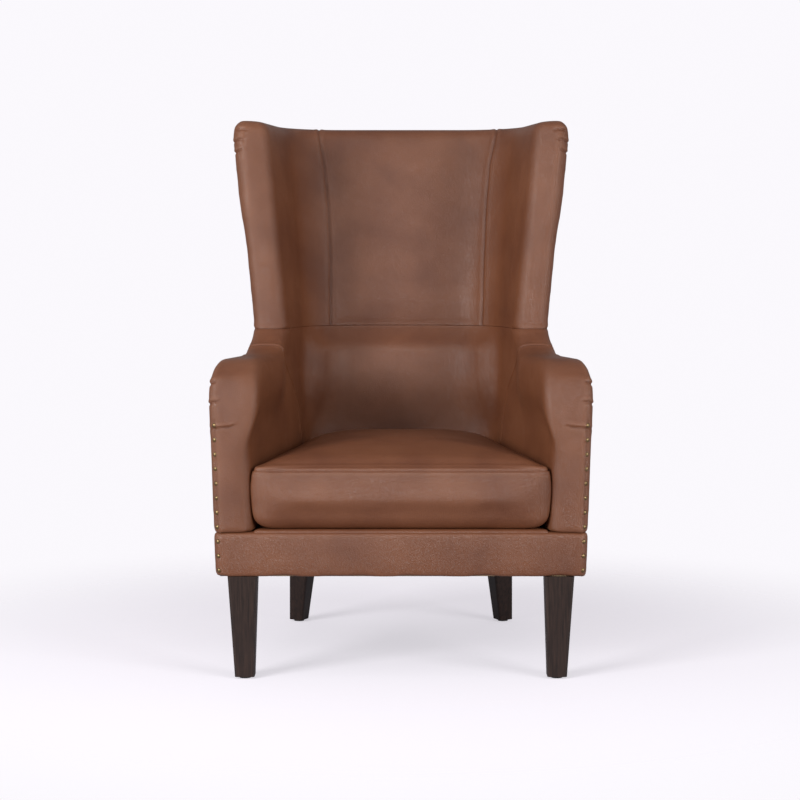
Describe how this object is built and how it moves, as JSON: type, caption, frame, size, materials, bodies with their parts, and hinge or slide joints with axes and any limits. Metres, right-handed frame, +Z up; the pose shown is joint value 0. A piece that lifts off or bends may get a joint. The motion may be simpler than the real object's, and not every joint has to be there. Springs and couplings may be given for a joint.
{
  "type": "wingback armchair",
  "caption": "High-backed leather armchair with shallow wings, swept rounded arms, a loose welted seat cushion and short tapered dark wood legs.",
  "frame": {"origin": "on the floor under the middle of the chair's bounding box", "axes": "+X to the left of a person sitting in the chair, +Y to the back, +Z up; the front faces -Y"},
  "size_m": [0.7326, 0.7322, 1.098],
  "materials": {
    "leather": "matte pull-up leather",
    "outside_leather": "matte pull-up leather on card",
    "foam": "matte foam and wadding",
    "webbing": "matte woven straps",
    "cambric": "matte non-woven cloth",
    "frame_timber": "sawn hardwood",
    "leg_wood": "satin dark stain",
    "glide_plastic": "matte",
    "bolt_steel": "plated",
    "zip_tape": "woven tape with fine teeth",
    "zip_metal": "antique"
  },
  "bodies": {
    "chair": {"arm_cover_left": "leather", "arm_cover_right": "leather", "arm_foam_left": "foam", "arm_foam_right": "foam", "arm_rail_left": "frame_timber", "arm_rail_right": "frame_timber", "back_foam": "foam", "back_post_left": "frame_timber", "back_post_right": "frame_timber", "back_rail": "frame_timber", "back_webbing": "webbing", "corner_blocks": "frame_timber", "crest_rail": "frame_timber", "deck_cover": "leather", "deck_pad": "foam", "dust_cover": "cambric", "front_border": "leather", "front_leg_left": "leg_wood", "front_leg_right": "leg_wood", "front_post_left": "frame_timber", "front_post_right": "frame_timber", "front_rail": "frame_timber", "glides": "glide_plastic", "hanger_bolts": "bolt_steel", "inside_back_cover": "leather", "inside_wing_cover_left": "leather", "inside_wing_cover_right": "leather", "lumbar_cover": "leather", "lumbar_foam": "foam", "lumbar_rail": "frame_timber", "outside_back": "outside_leather", "outside_side_left": "outside_leather", "outside_side_right": "outside_leather", "rail_pad": "foam", "rear_leg_left": "leg_wood", "rear_leg_right": "leg_wood", "seat_webbing_cross": "webbing", "seat_webbing_long": "webbing", "side_rail_left": "frame_timber", "side_rail_right": "frame_timber", "wing_post_left": "frame_timber", "wing_post_right": "frame_timber", "wing_rail_left": "frame_timber", "wing_rail_right": "frame_timber"},
    "seat_cushion": {"cushion_cover": "leather", "cushion_core": "foam", "zip_tape": "zip_tape"},
    "slider": {"zip_slider": "zip_metal"}
  },
  "joints": [
    {"name": "cushion_lift_out", "type": "slide", "parent": "chair", "child": "seat_cushion", "axis": [0, -0.9659, 0.2588], "range_m": [0, 0.55]},
    {"name": "zip_run", "type": "slide", "parent": "seat_cushion", "child": "slider", "axis": [-1, 0, 0], "range_m": [0, 0.276]}
  ]
}
